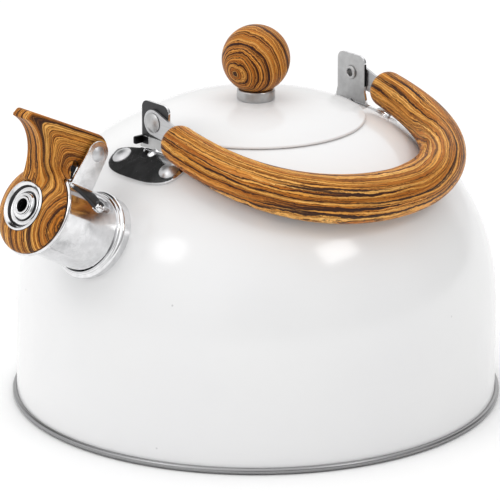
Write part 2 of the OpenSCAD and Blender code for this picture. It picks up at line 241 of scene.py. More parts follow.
def flat_sheet(outline, holes=(), step=1.0):
    """Triangulated flat sheet inside an outline, less its holes, with inner points every step."""
    loops = [outline, *holes]
    points = [Vector(p) for loop in loops for p in loop]
    edges, start = [], 0
    for loop in loops:
        edges += [(start + i, start + (i + 1) % len(loop)) for i in range(len(loop))]
        start += len(loop)

    def inside(p, loop):
        hit = False
        for i, (x1, y1) in enumerate(loop):
            x0, y0 = loop[i - 1]
            if (y0 > p[1]) != (y1 > p[1]) and p[0] < (x1 - x0) * (p[1] - y0) / (y1 - y0) + x0:
                hit = not hit
        return hit

    def kept(p):
        return inside(p, outline) and not any(inside(p, hole) for hole in holes)

    rim = list(points)
    xs = [p[0] for p in outline]
    ys = [p[1] for p in outline]
    for j in range(int((max(ys) - min(ys)) / step) + 1):
        for i in range(int((max(xs) - min(xs)) / step) + 1):
            p = Vector((min(xs) + (i + 0.5 * (j % 2)) * step, min(ys) + j * step))
            if kept(p) and min((p - q).length for q in rim) > 0.6 * step:
                points.append(p)
    verts, _, tris, *_ = delaunay_2d_cdt(points, edges, [], 0, 1e-6)
    faces = [f for f in tris if kept(sum((verts[i] for i in f), Vector((0, 0))) / len(f))]
    return [tuple(v) for v in verts], faces


def press(outline, holes, shape, thickness, step=1.0):
    """A flat sheet bent to shape(p, q, w), where w runs through its thickness."""
    flat, faces = flat_sheet(outline, holes, step)
    n = len(flat)
    verts = [tuple(shape(p, q, w)) for w in (0.0, thickness) for p, q in flat]
    # An edge that only one triangle has lies on the rim, and gets a wall
    rim = dict.fromkeys((a, b) for f in faces for a, b in zip(f, [*f[1:], f[0]]))
    under = [tuple(reversed(f)) for f in faces]
    over = [tuple(i + n for i in f) for f in faces]
    return verts, under + over + [(a, b, b + n, a + n) for a, b in rim if (b, a) not in rim]


def join_parts(*parts):
    """Several (verts, faces) lists as one."""
    verts, faces = [], []
    for v, f in parts:
        faces += [tuple(i + len(verts) for i in face) for face in f]
        verts += list(v)
    return verts, faces


def moved(part, matrix):
    return [tuple(matrix @ Vector(v)) for v in part[0]], part[1]


def new_object(name, data):
    obj = bpy.data.objects.new(name, data)
    bpy.context.scene.collection.objects.link(obj)
    return obj


def evaluated_mesh(obj):
    bpy.context.view_layer.update()
    graph = bpy.context.evaluated_depsgraph_get()
    return bpy.data.meshes.new_from_object(obj.evaluated_get(graph))


def apply_modifiers(obj):
    done = evaluated_mesh(obj)
    obj.modifiers.clear()
    obj.data = done


def carve(obj, part, place=None):
    """Cuts a closed part away from an object."""
    core = new_object("core", bpy.data.meshes.new("core"))
    core.data.from_pydata(part[0], [], part[1])
    core.data.transform(place or Matrix.Identity(4))
    cut = obj.modifiers.new("cut", "BOOLEAN")
    cut.operation = "DIFFERENCE"
    cut.solver = "EXACT"
    cut.object = core
    apply_modifiers(obj)
    bpy.data.objects.remove(core)


def more_materials(obj, *materials):
    for material in materials:
        obj.data.materials.append(material)


def piece(name, part, material, body, slot, *stands_for, place=None, bevel=0.0, remesh=0.0,
          smooth=0, grain=None, sharp=40, less=None):
    """One finished piece. part is its mesh in millimetres, less is a closed mesh to cut from it,
    place moves it to its rest place, and grain(point, index) gives the wood figure's coordinates.
    It rides its body and replaces the CAD node it stands for."""
    place = place or Matrix.Identity(4)
    mesh = bpy.data.meshes.new(name)
    mesh.from_pydata(part[0], [], part[1])
    tidy = bmesh.new()
    tidy.from_mesh(mesh)
    bmesh.ops.remove_doubles(tidy, verts=tidy.verts, dist=1e-4)
    bmesh.ops.recalc_face_normals(tidy, faces=tidy.faces)
    tidy.to_mesh(mesh)
    tidy.free()
    obj = new_object(name, mesh)
    if remesh:
        fused = obj.modifiers.new("fused", "REMESH")
        fused.mode = "VOXEL"
        fused.voxel_size = remesh
    if smooth:
        soft = obj.modifiers.new("soft", "SMOOTH")
        soft.factor = 0.5
        soft.iterations = smooth
    if bevel:
        edge = obj.modifiers.new("edge", "BEVEL")
        edge.width = bevel
        edge.segments = 3
        edge.limit_method = "ANGLE"
        edge.angle_limit = radians(50)
    if obj.modifiers:
        apply_modifiers(obj)
    if less:
        carve(obj, less)
    mesh = obj.data
    mesh.name = name
    if grain:
        layer = mesh.attributes.new("grain", "FLOAT_VECTOR", "POINT")
        for v, value in zip(mesh.vertices, layer.data):
            value.vector = grain(v.co, v.index)
    mesh.transform(place)
    mesh.transform(Matrix.Scale(MM, 4))
    if place.determinant() < 0:
        mesh.flip_normals()
    mesh.shade_smooth()
    mesh.set_sharp_from_angle(angle=radians(sharp))
    mesh.materials.clear()
    mesh.materials.append(material)
    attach(obj, body)
    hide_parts(*stands_for)
    return obj


# ------------------------ material helpers
def new_material(name):
    """A material with one principled shader, and its node tree."""
    mat = bpy.data.materials.new(name)
    mat.use_nodes = True
    tree = mat.node_tree
    tree.nodes.clear()
    shader = add(tree, "BsdfPrincipled")
    add(tree, "OutputMaterial", {"Surface": shader.outputs[0]})
    return mat, tree, shader


def add(tree, kind, inputs=None, **settings):
    """Adds a shader node. An input may be a number, a colour or another node's output."""
    made = tree.nodes.new("ShaderNode" + kind)
    for key, value in settings.items():
        setattr(made, key, value)
    for key, value in (inputs or {}).items():
        if isinstance(value, bpy.types.NodeSocket):
            tree.links.new(value, made.inputs[key])
        else:
            made.inputs[key].default_value = value
    return made


def maths(tree, operation, a, b=0.0):
    return add(tree, "Math", {0: a, 1: b}, operation=operation).outputs[0]


def noise(tree, vector, scale, detail=2.0, rough=0.5):
    return add(tree, "TexNoise", {
        "Vector": vector, "Scale": scale, "Detail": detail, "Roughness": rough}).outputs["Fac"]


def spread(tree, value, low=0.3, high=0.7, to_low=0, to_high=1):
    """Eases low..high onto to_low..to_high, held at both ends. The defaults fill a noise out."""
    return add(tree, "MapRange", {
        "Value": value, "From Min": low, "From Max": high, "To Min": to_low, "To Max": to_high},
        interpolation_type="SMOOTHSTEP").outputs["Result"]


def mix(tree, factor, a, b, blend="MIX"):
    """Mixes two colours, each given as a colour or as another node's output."""
    a, b = ((*tone, 1) if isinstance(tone, tuple) else tone for tone in (a, b))
    # A mix node has sockets for every data type: 0 is the factor, 6 and 7 are the two colours
    made = add(tree, "Mix", {0: factor, 6: a, 7: b}, data_type="RGBA", blend_type=blend)
    return made.outputs[2]


def ramp(tree, value, stops):
    """Colours a value by stops given as (position, colour)."""
    made = add(tree, "ValToRGB", {"Fac": value})
    colors = made.color_ramp.elements
    while len(colors) < len(stops):
        colors.new(0.5)
    for item, (place, color) in zip(colors, stops):
        item.position = place
        item.color = (*color, 1)
    return made.outputs["Color"]


def stretched(tree, source, scale):
    return add(tree, "VectorMath", {0: source, 1: scale}, operation="MULTIPLY").outputs[0]


def feed_shader(tree, shader, tone, gloss, height, strength, distance=0.0002):
    """Links the colour, the roughness and a bump of the given height."""
    bump = add(tree, "Bump", {"Height": height, "Strength": strength, "Distance": distance})
    for value, socket in ((tone, "Base Color"), (gloss, "Roughness"), (bump.outputs[0], "Normal")):
        tree.links.new(value, shader.inputs[socket])


def object_place(tree):
    return add(tree, "TexCoord").outputs["Object"]


# ------------------------ materials
# Noises are scaled by the metre, or by the millimetre where they read the grain.
def make_enamel(name, shine):
    """Glossy white paint with a faint orange peel, wipe marks and a few specks of dust."""
    mat, tree, shader = new_material(name)
    place = object_place(tree)
    cloud = noise(tree, place, 14.0, 3.0)
    wipe = noise(tree, stretched(tree, place, (22, 22, 420)), 1.0, 4.0, 0.6)
    tone = mix(tree, spread(tree, cloud), (0.795, 0.795, 0.8), (0.81, 0.81, 0.81))
    tone = mix(tree, spread(tree, wipe, 0.5, 0.8, 0, 0.05), tone, (0.74, 0.74, 0.75))
    dots = add(tree, "TexVoronoi", {"Vector": place, "Scale": 95.0}).outputs["Distance"]
    rare = noise(tree, place, 60.0, 0.0)
    speck = maths(tree, "MULTIPLY", spread(tree, dots, 0.03, 0.06, 1, 0),
                  spread(tree, rare, 0.66, 0.7, 0, 0.45))
    tone = mix(tree, speck, tone, (0.3, 0.3, 0.31))
    feed_shader(tree, shader, tone, spread(tree, cloud, 0.3, 0.8, 0.15, 0.19),
                noise(tree, place, 420.0, 2.0), 0.04, 0.0004)
    shader.inputs["IOR"].default_value = 1.5
    shader.inputs["Specular IOR Level"].default_value = shine
    shader.inputs["Coat Weight"].default_value = 0.3 * shine
    shader.inputs["Coat Roughness"].default_value = 0.1
    return mat


def make_steel(name, color, rough, streaks, bump=0.05):
    """Bare stainless steel. streaks scales the brush marks along X, Y and Z."""
    mat, tree, shader = new_material(name)
    place = object_place(tree)
    brushed = noise(tree, stretched(tree, place, streaks), 1.0, 5.0, 0.65)
    smear = noise(tree, place, 55.0, 3.0)
    dark = tuple(c * 0.86 for c in color)
    light = tuple(min(c * 1.06, 1) for c in color)
    tone = mix(tree, spread(tree, brushed), dark, light)
    gloss = maths(tree, "ADD", spread(tree, brushed, 0.3, 0.75, rough * 0.8, rough * 1.25),
                  spread(tree, smear, 0.45, 0.75, 0, rough * 0.5))
    feed_shader(tree, shader, tone, gloss, brushed, bump)
    shader.inputs["Metallic"].default_value = 1.0
    return mat


def make_turned_steel(name, color, rough):
    """Metal with fine turning rings about Z, as on spun rims and the underside."""
    mat, tree, shader = new_material(name)
    place = object_place(tree)
    flat = stretched(tree, place, (1, 1, 0))
    radius = add(tree, "VectorMath", {0: flat}, operation="LENGTH").outputs["Value"]
    height = add(tree, "SeparateXYZ", {0: place}).outputs["Z"]
    fine = 1800.0
    rings = add(tree, "CombineXYZ", {
        0: maths(tree, "MULTIPLY", radius, fine), 1: maths(tree, "MULTIPLY", height, fine)})
    lines = noise(tree, rings.outputs[0], 1.0, 4.0, 0.6)
    patch = noise(tree, place, 30.0, 3.0)
    tone = mix(tree, spread(tree, lines), tuple(c * 0.8 for c in color), color)
    tone = mix(tree, spread(tree, patch, 0.5, 0.75, 0, 0.2), tone, (0.35, 0.34, 0.33))
    gloss = spread(tree, lines, 0.3, 0.7, rough * 0.8, rough * 1.3)
    feed_shader(tree, shader, tone, gloss, lines, 0.12)
    shader.inputs["Metallic"].default_value = 1.0
    return mat


def make_wood(name, shade):
    """Moulded plastic with a printed wood figure, toned by shade. The grain attribute holds the
    distance across the growth rings, along the grain, and a second way across, in millimetres."""
    mat, tree, shader = new_material(name)
    grain = add(tree, "Attribute", attribute_name="grain").outputs["Vector"]
    drift = noise(tree, stretched(tree, grain, (0.07, 0.016, 0.07)), 1.0, 2.0, 0.5)
    jitter = noise(tree, stretched(tree, grain, (0.26, 0.09, 0.26)), 1.0, 3.0, 0.6)
    ragged = noise(tree, stretched(tree, grain, (0.9, 0.45, 0.9)), 1.0, 2.0, 0.6)
    parts = add(tree, "SeparateXYZ", {0: grain})
    ring, along = parts.outputs["X"], parts.outputs["Y"]
    for wander, reach in ((drift, 4.5), (jitter, 2.2), (ragged, 0.75)):
        ring = maths(tree, "ADD", ring, maths(tree, "MULTIPLY", wander, reach))

    def layer(across_scale, along_scale, detail, rough, offset):
        vector = add(tree, "CombineXYZ", {
            0: maths(tree, "MULTIPLY", ring, across_scale),
            1: maths(tree, "MULTIPLY", along, along_scale), 2: offset}).outputs[0]
        return noise(tree, vector, 1.0, detail, rough)

    broad = layer(0.2, 0.003, 2.0, 0.5, 3.1)
    bands = layer(0.95, 0.006, 3.0, 0.62, 7.7)
    streak = layer(2.1, 0.02, 3.0, 0.6, 5.3)
    fibre = layer(4.5, 0.08, 3.0, 0.65, 1.3)
    pores = layer(2.8, 0.3, 2.0, 0.6, 9.2)
    tone = ramp(tree, bands, [
        (0.3, (0.38, 0.11, 0.015)), (0.41, (0.56, 0.19, 0.026)),
        (0.5, (0.73, 0.3, 0.05)), (0.6, (0.88, 0.43, 0.095)),
        (0.72, (0.96, 0.57, 0.165))])
    for field, none, full, much, ink in (
            (broad, 0.4, 0.6, 0.28, (0.54, 0.155, 0.022)),
            (streak, 0.54, 0.74, 0.8, (0.18, 0.05, 0.01)),
            (streak, 0.45, 0.3, 0.75, (0.98, 0.59, 0.19)),
            (fibre, 0.52, 0.74, 0.55, (0.13, 0.036, 0.008))):
        tone = mix(tree, spread(tree, field, none, full, 0.0, much), tone, ink)
    # Growth lines: fine ones where the narrow noises pass a level, and a few bold black ones
    for field, level, near, far, much, ink in (
            (bands, 0.465, 0.01, 0.04, 0.92, (0.036, 0.011, 0.007)),
            (bands, 0.605, 0.004, 0.018, 0.7, (0.11, 0.032, 0.01)),
            (streak, 0.56, 0.006, 0.026, 0.75, (0.066, 0.019, 0.008)),
            (broad, 0.54, 0.014, 0.03, 0.95, (0.03, 0.013, 0.011))):
        off = maths(tree, "ABSOLUTE", maths(tree, "SUBTRACT", field, level))
        tone = mix(tree, spread(tree, off, near, far, much, 0.0), tone, ink)
    tone = mix(tree, spread(tree, pores, 0.64, 0.7, 0.0, 0.8), tone, (0.04, 0.014, 0.01))
    tone = mix(tree, 1.0, tone, shade, "MULTIPLY")
    feed_shader(tree, shader, tone, spread(tree, fibre, 0.3, 0.7, 0.34, 0.48), fibre, 0.05)
    shader.inputs["Specular IOR Level"].default_value = 0.1
    return mat


def make_floor():
    """Matt pale floor, very slightly clouded."""
    mat, tree, shader = new_material("studio_floor")
    place = object_place(tree)
    cloud = noise(tree, place, 3.0, 2.0)
    tone = mix(tree, spread(tree, cloud), (0.92, 0.92, 0.92), (0.94, 0.94, 0.94))
    tree.links.new(tone, shader.inputs["Base Color"])
    shader.inputs["Roughness"].default_value = 0.9
    shader.inputs["Specular IOR Level"].default_value = 0.1
    return mat


ENAMEL = make_enamel("white_enamel", 0.5)
LID_ENAMEL = make_enamel("white_enamel_lid", 0.2)
POLISHED = make_steel("polished_steel", (0.8, 0.8, 0.81), 0.11, (240, 240, 240))
BRUSHED = make_steel("brushed_steel", (0.55, 0.55, 0.56), 0.35, (60, 60, 900), 0.08)
# Dark steel painted where parts should read as shade or dark reflection; not a finish the kettle
# has
PAINTED_SHADE_STEEL = make_steel("painted_shade_steel", (0.065, 0.065, 0.067), 0.35, (300, 300, 90), 0.06)
SATIN = make_steel("satin_steel_turned", (0.52, 0.52, 0.52), 0.35, (240, 240, 240))
STUD = make_steel("stud_steel", (0.62, 0.62, 0.63), 0.35, (240, 240, 240))
# Near-black steel painted where deep shade falls: between the spout ears, on the stop tab and
# plug, and on the rear plate's edge
PAINTED_SHADE_BLACK = make_steel("shaded_plate", (0.022, 0.022, 0.024), 0.35, (300, 300, 90))
TURNED = make_turned_steel("turned_steel", (0.36, 0.36, 0.365), 0.28)
INNER = make_turned_steel("inner_steel", (0.66, 0.66, 0.67), 0.34)
ALUMINIUM = make_turned_steel("aluminium_disc", (0.74, 0.75, 0.76), 0.45)
WOOD = make_wood("wood_print", (0.93, 0.93, 0.93))
KNOB_WOOD = make_wood("wood_print_knob", (0.88, 0.84, 0.8))


# ------------------------ body and base
def body_shell():
    """The drawn dome and wall, with a rolled mouth and a bore for the spout."""
    hem_z = dome_z(MOUTH_R) - HEM
    outer = [(BODY_R, 1.0)] + [(BODY_R, 1 + (WALL_H - 1) * i / 12) for i in range(1, 12)]
    outer += dome_arc(MOUTH_R + 1.6)
    roll = rounded([outer[-1], (MOUTH_R, dome_z(MOUTH_R) - 0.05, 1.0), (MOUTH_R, hem_z)], False, 6)
    inner = dome_arc(MOUTH_R + SHEET + 1.2, SHEET)[::-1]
    back = rounded([(MOUTH_R + SHEET, hem_z), (MOUTH_R + SHEET, inner[0][1] + 0.1, 0.5), inner[0]],
                   False, 4)
    profile = outer[:-1] + roll + back + inner[1:] + [(BODY_R - SHEET, 1.0)]
    obj = piece("enamel_body", lathe(profile, steps=256), ENAMEL, "kettle", "enamel", "body_shell")
    more_materials(obj, INNER)
    bore = lathe([(0, -60), (TUBE_R, -60), (TUBE_R, 0), (0, 0)], False, 128)
    carve(obj, bore, Matrix.Scale(MM, 4) @ SPOUT)
    # Faces deeper than half the sheet are the bare inside
    half_sheet = 1 - SHEET / 2 / BODY_R
    for face in obj.data.polygons:
        c = face.center / MM
        r, up = hypot(c.x, c.y), max(c.z - WALL_H, 0)
        fullness = (r / BODY_R) ** DOME_POWER + (up / DOME_H) ** DOME_POWER
        face.material_index = 0 if fullness > half_sheet ** DOME_POWER else 1


def base_pieces():
    """The base pan with its rolled bead, and the ringed cap under the heat spreader."""
    z = BEAD_Z
    wall = BODY_R + 0.05
    bead = [(wall, z + 1.1), (wall + 0.3, z + 1.32, 0.1)]
    bead += arc(BEAD_X, z, BEAD_R, 72, -90, 18)
    bead += [(BODY_R - 2.2, z - BEAD_R, 0.5), (CAPSULE_R + 1.2, FLOOR_Z, 1.2), (0, FLOOR_Z)]
    top = [(0, FLOOR_Z + 0.6), (CAPSULE_R + 1.0, FLOOR_Z + 0.6, 1.0),
           (BODY_R - 2.0, z - BEAD_R + 0.7, 0.6), (BODY_R - SHEET - 0.7, z - BEAD_R + 0.7, 0.3),
           (BODY_R - SHEET - 0.7, z + 1.0, 0.3), (BODY_R - SHEET - 0.05, z + 1.0),
           (BODY_R - SHEET - 0.05, 0.95), (wall, 0.95)]
    profile = rounded(bead + top, True, 4)
    piece("base_pan_rim", lathe(profile, steps=256), TURNED, "kettle", "satin_steel", "base_pan")
    rings = []
    for i in range(9):
        r = CAPSULE_R - 8 - i * 9.0
        rings += [(r + 0.9, 0), (r + 0.5, 0.1), (r - 0.5, 0.1), (r - 0.9, 0)]
    cap = [(CAPSULE_R - 2.0, FLOOR_Z), (CAPSULE_R, FLOOR_Z), (CAPSULE_R, 0, 0.9)]
    cap += rings + [(0, 0), (0, CAP_T), (CAPSULE_R - CAP_T, CAP_T, 0.5),
                    (CAPSULE_R - CAP_T, FLOOR_Z)]
    piece("capsule_cap", lathe(rounded(cap[1:], True, 4), steps=256), TURNED, "kettle",
          "satin_steel", "base_cap")


# ------------------------ lid and knob
def lid_pieces():
    """Lid, plug ring, ferrule and ball knob."""
    rim = LID_R - 0.9
    radii = [r for r in (rim * i / 40 for i in range(1, 40)) if r > 2.2]
    top = [(r, lid_z(r)) for r in radii]
    edge = arc(rim - 0.2, lid_z(rim) - 1.1, 1.1, 78, 0, 8)
    foot = [(LID_R, LID_EDGE_Z + 0.15), (LID_R - 0.15, LID_EDGE_Z),
            (LID_R - LID_T + 0.1, LID_EDGE_Z), (LID_R - LID_T, LID_EDGE_Z + 0.15)]
    under = [(r, lid_z(r) - LID_T) for r in reversed(radii)]
    hole = [(SCREW_HOLE_R, lid_z(2) - LID_T), (SCREW_HOLE_R, lid_z(2))]
    obj = piece("enamel_lid", lathe(top + edge + foot + under + hole, steps=224), LID_ENAMEL,
                "lid", "enamel", "lid_shell")
    more_materials(obj, INNER)
    for face in obj.data.polygons:
        c = face.center / MM
        r = hypot(c.x, c.y)
        if r < rim and c.z < lid_z(r) - LID_T / 2:
            face.material_index = 1
    under_z = lid_z(RING_R) - LID_T
    wall_r, weld_r = RING_R - 0.6, RING_R - 3.0
    weld_z = lid_z(weld_r) - LID_T
    ring = rounded([(RING_R, under_z), (RING_R, under_z - RING_H, 0.3),
                    (wall_r, under_z - RING_H, 0.3), (wall_r, under_z - 2.5),
                    (weld_r, weld_z - 0.3), (weld_r, weld_z)], True, 3)
    piece("lid_locating_ring", lathe(ring), BRUSHED, "lid", "satin_steel", "lid_ring")
    seat = LID_TOP + COLLAR_H
    collar = rounded([(0, lid_z(0)), (COLLAR_R - 0.25, lid_z(COLLAR_R)),
                      (COLLAR_R, lid_z(COLLAR_R) + 0.3, 0.2), (COLLAR_R, seat, 0.9), (0, seat)],
                     False, 5)
    piece("knob_ferrule", lathe(collar, False, 96), SATIN, "lid", "satin_steel", "knob_collar")
    # The ball, with a flat where it sits on the ferrule
    low = degrees(asin((seat - KNOB_Z) / KNOB_R))
    flat_r = KNOB_R * cos(radians(low))
    ball = [(0, KNOB_Z + KNOB_R)] + arc(0, KNOB_Z, KNOB_R, 90, low + 3, 72)[1:]
    ball += [(flat_r - 0.5, seat + 0.02), (0, seat + 0.02)]
    # The printed rings circle a knot low on the side that faces the spout and the handle
    knot = Vector((-0.955, -0.147, -0.256)).normalized()
    centre = Vector((0, 0, KNOB_Z))

    def rings(co, _):
        out = (co - centre).normalized()
        turn = out.cross(knot)
        near = out.dot(knot)
        lean = 0.35 * turn.z * exp(-2 * (1 - near))
        reach = acos(max(-1.0, min(1.0, near))) * (1 + lean)
        return (0.85 * KNOB_R * reach + 24, 12 * turn.x, 12 * turn.z)

    piece("wood_knob", lathe(ball, False, 128), KNOB_WOOD, "lid", "wood_print", "knob",
          grain=rings)


# ------------------------ spout
def spout_pieces():
    """The barrel with its rolled lip and weld seam, and the ring where it meets the dome."""
    seam_at = radians(222)

    def seam(angle, r, z):
        off = ((angle - seam_at + pi) % (2 * pi) - pi) * r
        return 0.14 * exp(-(off / 0.45) ** 2) if r > TUBE_R - 0.1 and z < -3.5 else 0.0

    lip = arc(LIP_R - LIP_BEAD, -0.5, LIP_BEAD, -60, 195, 18)
    throat = rounded([(TUBE_R - TUBE_T, TUBE_IN), (TUBE_R - TUBE_T, -3.2, 1.5), lip[-1]], False, 6)
    outer = rounded([lip[0], (TUBE_R, -2.9, 1.2), (TUBE_R, TUBE_IN)], False, 6)
    run = [(TUBE_R, -4 - 38 * i / 24) for i in range(1, 24)]
    profile = throat[:-1] + lip[::-1] + outer[1:-1] + run + outer[-1:]
    piece("spout_barrel", lathe(profile, steps=360, wobble=seam), POLISHED, "kettle",
          "polished_steel", "spout_tube", place=SPOUT)
    ring = [(TUBE_R + 0.02, COLLAR_U - 16), (TUBE_R + 1.5, COLLAR_U - 16)]
    ring += [(TUBE_R + 1.5, COLLAR_U - 1.2)] + arc(TUBE_R + 0.9, COLLAR_U + 0.1, 1.4, -50, 75, 12)
    ring += arc(TUBE_R + 0.6, COLLAR_U + 2.2, 0.7, -50, 90, 8) + [(TUBE_R + 0.02, COLLAR_U + 2.9)]
    dome = [(0, 0), (BODY_R, 0)] + dome_arc(20) + [(0, dome_z(20))]
    at = SPOUT @ Matrix.Translation((-0.5, 0, 0))
    piece("spout_socket", lathe(ring), POLISHED, "kettle", "polished_steel",
          "spout_collar", place=at, less=moved(lathe(dome, False, 192), at.inverted()))


def spout_bracket():
    """A strip bent over the barrel, with two ears for the pin and a welded tongue each side."""
    ear = [(-5.8, 15.0), (-19.4, 15.0)] + arc(PIN_U, PIN_V, EAR_R, -8, 188, 30)[::-1]
    eye = circle(PIN_U, PIN_V, PIN_R + 0.02)
    foot = hull_of([((-17.8, -6.2), 2.0), ((-7.4, -6.4), 1.2), ((-21.3, 1.5), 2.5)])
    dimple = lathe([(0, 0.75), (0.6, 0.72), (1.0, 0.25), (1.25, 0.15), (1.6, 0.8), (1.9, 0.95),
                    (2.2, 0.7), (2.4, 0), (2.3, -0.9), (0, -0.9)], False, 32)
    parts = []
    for side in (-1, 1):
        y0 = EAR_IN if side > 0 else -EAR_IN - EAR_T
        parts.append(press(ear, [eye], lambda p, q, w, y0=y0: (q, y0 + w, p), EAR_T, 1.2))

        def tongue(p, q, w, side=side):
            angle = side * (radians(45) + q / TUBE_R)
            r = TUBE_R + 0.02 + w
            return (r * cos(angle), r * sin(angle), p)

        parts.append(press(foot, [], tongue, 0.9, 0.8))
        at = Matrix.Rotation(side * radians(50), 4, "Z") @ Matrix.Translation(
            (TUBE_R + 0.9, 0, -21.3)) @ Matrix.Rotation(pi / 2, 4, "Y")
        parts.append(moved(dimple, at))

    def saddle(p, q, w):
        r = TUBE_R + 0.02 + w
        return (r * cos(q / TUBE_R), r * sin(q / TUBE_R), p)

    reach = asin((EAR_IN + EAR_T) / (TUBE_R + 1)) * TUBE_R
    strip = rounded([(-20, -reach, 0.5), (-5, -reach, 0.5), (-5, reach, 0.5),
                     (-20, reach, 0.5)], True, 3)
    parts.append(press(strip, [], saddle, 1.0, 1.0))
    obj = piece("spout_saddle", join_parts(*parts), POLISHED, "kettle", "polished_steel",
                "spout_bracket", place=SPOUT, remesh=0.2, smooth=3, sharp=60)
    more_materials(obj, PAINTED_SHADE_BLACK, PAINTED_SHADE_STEEL)
    # Painted shade on the ears' inner faces between them, and a painted dark reflection on the
    # tongues
    for face in obj.data.polygons:
        aside = abs(face.center.y) / MM
        inward = face.normal.y * face.center.y < 0 and abs(face.normal.y) > 0.6
        if inward and aside < EAR_IN + 0.5:
            face.material_index = 1
        elif EAR_IN + EAR_T + 0.5 < aside < 14.5:
            face.material_index = 2


def pin_and_whistle():
    """The hinge pin, the ringed front of the whistle, and the cup behind it."""
    head = EAR_IN + EAR_T
    head_h, head_r, crown = 1.3, 3.35, 5.09
    side = [(0, head + head_h)] + arc(0, head + head_h - crown, crown, 88, 50, 8)
    side += [(head_r, head + 0.02)]
    profile = side + [(PIN_R, head), (PIN_R, -head)] + [(r, -z) for r, z in reversed(side)]
    at = SPOUT @ Matrix.Translation((PIN_V, 0, PIN_U)) @ Matrix.Rotation(pi / 2, 4, "X")
    piece("lever_pin", lathe(profile, False, 64), STUD, "kettle", "polished_steel",
          "whistle_pin", place=at)

    face = CAP_BULGE
    skirt = CAVITY_R + 0.58
    front = rounded([(CAVITY_R, CAP_BACK), (skirt, CAP_BACK), (skirt, face - 0.1, 0.3),
                     (BEZEL_R, face - 0.02, 0.25), (BEZEL_R, face + 0.5, 0.35),
                     (10.3, face + 1.0, 0.45), (9.2, face + 0.1, 0.3), (8.4, face - 1.4, 0.6),
                     (6.6, face - 1.5, 0.6), (6.2, face - 0.2, 0.3), (5.5, face + 0.6, 0.5),
                     (4.4, face + 0.4, 0.3), (4.1, face + 0.5, 0.2), (3.9, face + 1.1, 0.3),
                     (3.0, face + 1.1, 0.4), (STEAM_R, face - 0.4, 0.1), (3.6, face - 0.4, 0.1),
                     (3.7, face - 0.1, 0.2), (5.6, face, 0.3), (6.0, face - 2.1, 0.3),
                     (CAVITY_R, face - 2.0)], True, 5)
    obj = piece("whistle_bezel", lathe(front, steps=128), POLISHED, "whistle", "polished_steel",
                "whistle_front", place=SPOUT)
    more_materials(obj, PAINTED_SHADE_STEEL)
    # The steep walls between the rings get painted shade, standing in for the dark reflections in
    # the grooves
    axis = SPOUT.to_3x3() @ Vector((0, 0, 1))
    for face in obj.data.polygons:
        face.material_index = 1 if abs(face.normal.dot(axis)) < 0.62 else 0
    cup = rounded([(STEAM_R, -3), (13, -3, 0.8), (13, 0.2, 0.4), (17.5, 0.2, 0.2),
                   (17.5, CAP_BACK - 0.02, 0.2), (12.4, CAP_BACK - 0.02, 0.4), (12.4, -2.4, 0.4),
                   (STEAM_R, -2.4)], True, 5)
    piece("whistle_cup", lathe(cup, steps=128), BRUSHED, "whistle", "satin_steel",
          "whistle_back", place=SPOUT)


